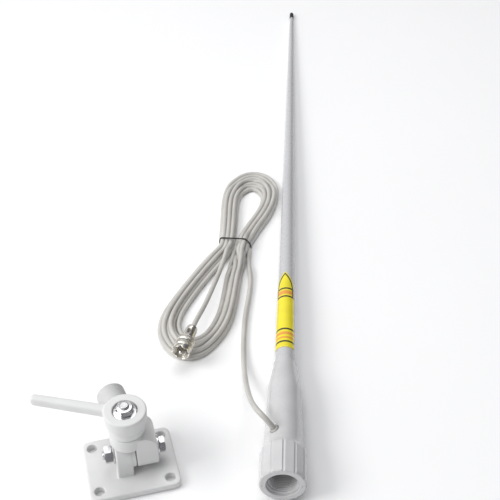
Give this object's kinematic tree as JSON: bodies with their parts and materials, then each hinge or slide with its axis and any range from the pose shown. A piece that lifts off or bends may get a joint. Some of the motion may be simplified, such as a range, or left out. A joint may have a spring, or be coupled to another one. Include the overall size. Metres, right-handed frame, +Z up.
{
  "type": "omnidirectional antenna",
  "caption": "Tapered white whip antenna with a ribbed threaded socket, a tied hank of coax with a screw-on plug, and a lever-clamped two-axis deck mount.",
  "frame": {"origin": "centre of the mount plate's underside, on the surface that everything lies on", "axes": "+Y along the whip from its socket towards its tip, +Z up, +X to the right as the socket faces the viewer"},
  "size_m": [0.234, 0.9058, 0.0812],
  "materials": {
    "white_nylon": "glossy moulded nylon",
    "satin_nylon": "satin moulded nylon",
    "fibreglass": "painted fibreglass",
    "black_rubber": "matt",
    "label_film": "printed film under clear laminate",
    "coax_jacket": "smooth PVC",
    "nickel": "nickel plate",
    "stainless": "polished stainless",
    "brass": "plain",
    "copper": "plain copper",
    "cream_plastic": "moulded insulator"
  },
  "bodies": {
    "antenna": {"ferrule": "white_nylon", "cable_grommet": "coax_jacket", "potting_plug": "cream_plastic", "feed_coax": "coax_jacket", "whip_tube": "fibreglass", "tip_cap": "black_rubber", "label_band": "label_film", "ground_sleeve": "brass", "coil_former": "cream_plastic", "matching_coil": "copper", "radiator_wire": "copper", "wire_spacer_1": "cream_plastic", "wire_spacer_2": "cream_plastic", "wire_spacer_3": "cream_plastic", "coax_tail": "coax_jacket", "coax_hank": "coax_jacket", "hank_tie": "black_rubber", "plug_lead": "coax_jacket", "plug_reducer": "nickel", "plug_body": "nickel", "plug_insulator": "cream_plastic", "plug_pin": "nickel"},
    "plug_coupling_ring": {"plug_coupling_ring": "nickel"},
    "mount_base": {"base_plate": "satin_nylon", "tilt_washer_nut_side": "stainless", "tilt_nut": "stainless", "tilt_washer_head_side": "stainless", "tilt_bolt": "stainless"},
    "tilt_block": {"tilt_block": "satin_nylon", "swivel_bolt": "stainless"},
    "stud_block": {"stud_block": "satin_nylon"},
    "lever": {"lever": "satin_nylon", "swivel_washer": "stainless", "swivel_nut": "stainless"}
  },
  "joints": [
    {"name": "coupling_ring_turn", "type": "hinge", "parent": "antenna", "child": "plug_coupling_ring", "pos_m": [0.041, 0.1554, 0.02], "axis": [-0.2419, -0.9703, 0], "continuous": true},
    {"name": "mount_lift", "type": "slide", "parent": "antenna", "child": "mount_base", "axis": [0, 0, 1], "range_m": [0, 0.15]},
    {"name": "tilt", "type": "hinge", "parent": "mount_base", "child": "tilt_block", "pos_m": [0, 0, 0.0228], "axis": [0.9563, 0.2924, 0], "range_deg": [-30, 90]},
    {"name": "stud_swivel", "type": "hinge", "parent": "tilt_block", "child": "stud_block", "pos_m": [0, 0, 0.0505], "axis": [0, 0, 1], "range_deg": [-23, 82]},
    {"name": "lever_clamp", "type": "hinge", "parent": "tilt_block", "child": "lever", "pos_m": [0, 0, 0.068], "axis": [0, 0, 1], "range_deg": [-120, 0]}
  ]
}
